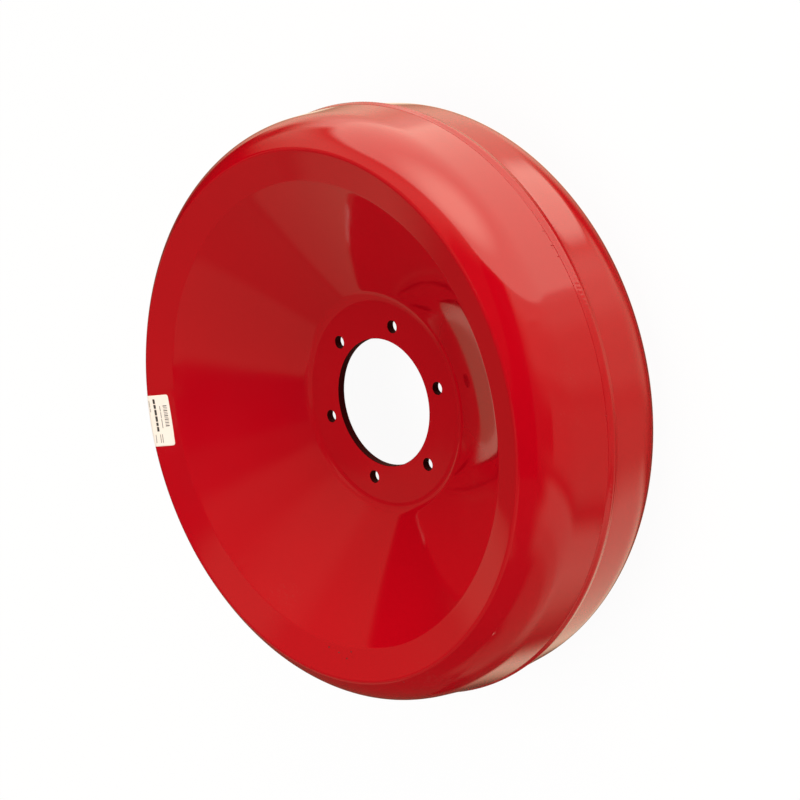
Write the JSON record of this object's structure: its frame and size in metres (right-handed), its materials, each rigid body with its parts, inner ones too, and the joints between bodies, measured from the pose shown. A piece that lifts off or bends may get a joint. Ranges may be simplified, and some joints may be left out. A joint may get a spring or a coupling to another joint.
{
  "type": "steel press wheel",
  "caption": "Tyreless all-steel press wheel: two pressed dished shells welded round the tread, with a centre bore and a ring of bolt holes in the hub face.",
  "frame": {"origin": "centre of the hub bore, half way between the two hub faces", "axes": "+Z along the wheel's axis, out of the labelled face; +X through one bolt hole; the wheel lies flat on the rear rim's crest"},
  "size_m": [0.7391, 0.7392, 0.2298],
  "materials": {
    "red_enamel": "glossy red enamel sprayed over pressed steel sheet, with small chips, runs and dirt",
    "painted_weld": "the same red enamel over a rippled weld bead with spatter",
    "label_paper": null
  },
  "bodies": {
    "root": {"front_shell": "red_enamel", "rear_shell": "red_enamel", "tread_weld": "painted_weld", "label": "label_paper"}
  },
  "joints": []
}
